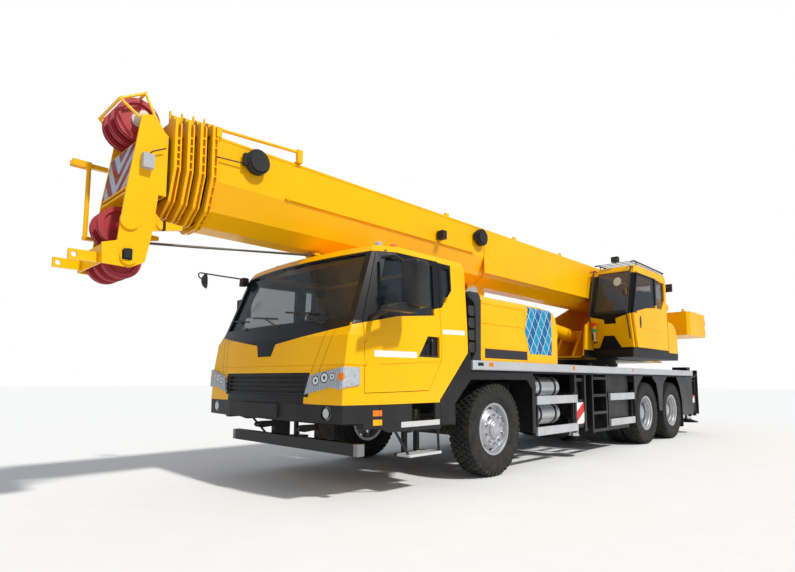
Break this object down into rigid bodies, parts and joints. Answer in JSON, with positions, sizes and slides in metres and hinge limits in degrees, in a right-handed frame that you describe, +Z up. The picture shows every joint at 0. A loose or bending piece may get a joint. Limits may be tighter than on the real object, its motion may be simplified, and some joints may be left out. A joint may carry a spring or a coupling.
{
  "type": "mobile crane",
  "caption": "Truck crane: full-width driver cab, telescopic boom on a slewing superstructure with operator cab and counterweight, sliding outriggers with jacks.",
  "frame": {"origin": "middle of the whole machine on the ground, halfway between the boom head and the counterweight", "axes": "+X forward, towards the boom head in its stowed place, +Y to the left, +Z up"},
  "size_m": [12.9, 3.2796, 3.522],
  "materials": {
    "yellow_paint": "gloss",
    "black_paint": "satin",
    "silver": "satin",
    "glass": "gloss",
    "rubber": "matt",
    "dark_plastic": "satin",
    "fabric": "matt",
    "maroon": "satin",
    "lamp": "gloss",
    "chrome": "gloss"
  },
  "bodies": {
    "carrier": {"chassis_frame": "black_paint", "boom_rest": "black_paint", "deck_side_rails": "silver", "axles_and_springs": "black_paint", "driver_cab_shell": "yellow_paint", "driver_cab_windows": "glass", "driver_cab_seats": "fabric", "driver_cab_dashboard": "dark_plastic", "front_bumper_and_steps": "black_paint", "road_lamps": "lamp", "guard_rails": "silver", "wheel_fenders": "black_paint", "side_boxes_and_ladders": "black_paint", "air_tanks": "silver", "engine_hood": "yellow_paint", "engine_block": "black_paint", "intake_stack": "dark_plastic", "slewing_ring": "black_paint"},
    "superstructure": {"turntable_frame": "yellow_paint", "counterweight": "yellow_paint", "operator_cab_shell": "yellow_paint", "operator_cab_windows": "glass", "operator_cab_guard_and_rails": "black_paint", "operator_seat": "fabric"},
    "operator_door": {"operator_cab_door": "yellow_paint", "operator_cab_door_window": "glass"},
    "boom_1": {"boom_base": "yellow_paint", "boom_cylinder_bracket": "yellow_paint", "boom_cable_reels_and_lamp": "dark_plastic", "hook_block": "yellow_paint"},
    "boom_2": {"boom_section_2": "yellow_paint"},
    "boom_3": {"boom_section_3": "yellow_paint"},
    "boom_4": {"boom_section_4": "yellow_paint"},
    "boom_5": {"boom_section_5": "yellow_paint", "boom_head_sheaves": "maroon"},
    "cylinder_barrel": {"derrick_cylinder_barrel": "yellow_paint"},
    "cylinder_rod": {"derrick_cylinder_rod": "chrome"},
    "main_winch": {"winch_drum_main": "black_paint"},
    "auxiliary_winch": {"winch_drum_auxiliary": "black_paint"},
    "cab_door_left": {"driver_cab_door_left": "yellow_paint", "driver_cab_door_window_left": "glass"},
    "knuckle_left": {"steering_knuckle_left": "black_paint"},
    "front_wheel_left": {"front_wheel_left": "rubber"},
    "rear_wheels_2_left": {"twin_wheels_2_left": "rubber"},
    "rear_wheels_3_left": {"twin_wheels_3_left": "rubber"},
    "outrigger_front_left": {"outrigger_beam_front_left": "black_paint"},
    "jack_front_left": {"outrigger_jack_front_left": "black_paint"},
    "outrigger_rear_left": {"outrigger_beam_rear_left": "black_paint"},
    "jack_rear_left": {"outrigger_jack_rear_left": "black_paint"},
    "cab_door_right": {"driver_cab_door_right": "yellow_paint", "driver_cab_door_window_right": "glass"},
    "knuckle_right": {"steering_knuckle_right": "black_paint"},
    "front_wheel_right": {"front_wheel_right": "rubber"},
    "rear_wheels_2_right": {"twin_wheels_2_right": "rubber"},
    "rear_wheels_3_right": {"twin_wheels_3_right": "rubber"},
    "outrigger_front_right": {"outrigger_beam_front_right": "black_paint"},
    "jack_front_right": {"outrigger_jack_front_right": "black_paint"},
    "outrigger_rear_right": {"outrigger_beam_rear_right": "black_paint"},
    "jack_rear_right": {"outrigger_jack_rear_right": "black_paint"}
  },
  "joints": [
    {"name": "cab_door_left_hinge", "type": "hinge", "parent": "carrier", "child": "cab_door_left", "pos_m": [4.284, 1.211, 1.5], "axis": [0, 0, -1], "range_deg": [0, 65]},
    {"name": "steering_left", "type": "hinge", "parent": "carrier", "child": "knuckle_left", "pos_m": [2.2, 0.83, 0.54], "axis": [0, 0, 1], "range_deg": [-30, 30]},
    {"name": "front_wheel_left_spin", "type": "hinge", "parent": "knuckle_left", "child": "front_wheel_left", "pos_m": [2.2, 1.062, 0.54], "axis": [0, 1, 0], "continuous": true},
    {"name": "rear_wheels_2_left_spin", "type": "hinge", "parent": "carrier", "child": "rear_wheels_2_left", "pos_m": [-2.533, 0.9435, 0.54], "axis": [0, 1, 0], "continuous": true},
    {"name": "rear_wheels_3_left_spin", "type": "hinge", "parent": "carrier", "child": "rear_wheels_3_left", "pos_m": [-3.883, 0.9435, 0.54], "axis": [0, 1, 0], "continuous": true},
    {"name": "outrigger_front_left_slide", "type": "slide", "parent": "carrier", "child": "outrigger_front_left", "axis": [0, 1, 0], "range_m": [0, 1.7]},
    {"name": "jack_front_left_slide", "type": "slide", "parent": "outrigger_front_left", "child": "jack_front_left", "axis": [0, 0, -1], "range_m": [0, 0.45]},
    {"name": "outrigger_rear_left_slide", "type": "slide", "parent": "carrier", "child": "outrigger_rear_left", "axis": [0, 1, 0], "range_m": [0, 1.7]},
    {"name": "jack_rear_left_slide", "type": "slide", "parent": "outrigger_rear_left", "child": "jack_rear_left", "axis": [0, 0, -1], "range_m": [0, 0.45]},
    {"name": "cab_door_right_hinge", "type": "hinge", "parent": "carrier", "child": "cab_door_right", "pos_m": [4.284, -1.211, 1.5], "axis": [0, 0, 1], "range_deg": [0, 65]},
    {"name": "steering_right", "type": "hinge", "parent": "carrier", "child": "knuckle_right", "pos_m": [2.2, -0.83, 0.54], "axis": [0, 0, 1], "range_deg": [-30, 30]},
    {"name": "front_wheel_right_spin", "type": "hinge", "parent": "knuckle_right", "child": "front_wheel_right", "pos_m": [2.2, -1.062, 0.54], "axis": [0, 1, 0], "continuous": true},
    {"name": "rear_wheels_2_right_spin", "type": "hinge", "parent": "carrier", "child": "rear_wheels_2_right", "pos_m": [-2.533, -0.9435, 0.54], "axis": [0, 1, 0], "continuous": true},
    {"name": "rear_wheels_3_right_spin", "type": "hinge", "parent": "carrier", "child": "rear_wheels_3_right", "pos_m": [-3.883, -0.9435, 0.54], "axis": [0, 1, 0], "continuous": true},
    {"name": "outrigger_front_right_slide", "type": "slide", "parent": "carrier", "child": "outrigger_front_right", "axis": [0, -1, 0], "range_m": [0, 1.7]},
    {"name": "jack_front_right_slide", "type": "slide", "parent": "outrigger_front_right", "child": "jack_front_right", "axis": [0, 0, -1], "range_m": [0, 0.45]},
    {"name": "outrigger_rear_right_slide", "type": "slide", "parent": "carrier", "child": "outrigger_rear_right", "axis": [0, -1, 0], "range_m": [0, 1.7]},
    {"name": "jack_rear_right_slide", "type": "slide", "parent": "outrigger_rear_right", "child": "jack_rear_right", "axis": [0, 0, -1], "range_m": [0, 0.45]},
    {"name": "slewing", "type": "hinge", "parent": "carrier", "child": "superstructure", "pos_m": [-2.75, 0, 1.5], "axis": [0, 0, 1], "continuous": true},
    {"name": "operator_door_slide", "type": "slide", "parent": "superstructure", "child": "operator_door", "axis": [-1, 0, 0], "range_m": [0, 0.7]},
    {"name": "derrick", "type": "hinge", "parent": "superstructure", "child": "boom_1", "pos_m": [-4.65, 0, 2.9], "axis": [0, -1, 0], "range_deg": [0, 78]},
    {"name": "telescope_2", "type": "slide", "parent": "boom_1", "child": "boom_2", "axis": [1, 0, 0], "range_m": [0, 7.8]},
    {"name": "telescope_3", "type": "slide", "parent": "boom_2", "child": "boom_3", "axis": [1, 0, 0], "range_m": [0, 7.8]},
    {"name": "telescope_4", "type": "slide", "parent": "boom_3", "child": "boom_4", "axis": [1, 0, 0], "range_m": [0, 7.8]},
    {"name": "telescope_5", "type": "slide", "parent": "boom_4", "child": "boom_5", "axis": [1, 0, 0], "range_m": [0, 7.8]},
    {"name": "cylinder_barrel_hinge", "type": "hinge", "parent": "superstructure", "child": "cylinder_barrel", "pos_m": [-2.35, 0, 1.95], "axis": [0, -1, 0], "range_deg": [0, 89.6]},
    {"name": "cylinder_rod_slide", "type": "slide", "parent": "cylinder_barrel", "child": "cylinder_rod", "axis": [0.9956, 0, 0.0937], "range_m": [0, 3.009]},
    {"name": "main_winch_spin", "type": "hinge", "parent": "superstructure", "child": "main_winch", "pos_m": [-5.56, 0, 2.83], "axis": [0, 1, 0], "continuous": true},
    {"name": "auxiliary_winch_spin", "type": "hinge", "parent": "superstructure", "child": "auxiliary_winch", "pos_m": [-6.08, 0, 2.83], "axis": [0, 1, 0], "continuous": true}
  ],
  "couplings": [
    {"joint": "steering_right", "follows": "steering_left", "ratio": 1},
    {"joint": "cylinder_barrel_hinge", "follows": "derrick", "ratio": 1.1421},
    {"joint": "cylinder_rod_slide", "follows": "derrick", "m_per_rad": 2.2028},
    {"joint": "telescope_3", "follows": "telescope_2", "ratio": 1},
    {"joint": "telescope_4", "follows": "telescope_2", "ratio": 1},
    {"joint": "telescope_5", "follows": "telescope_2", "ratio": 1}
  ]
}
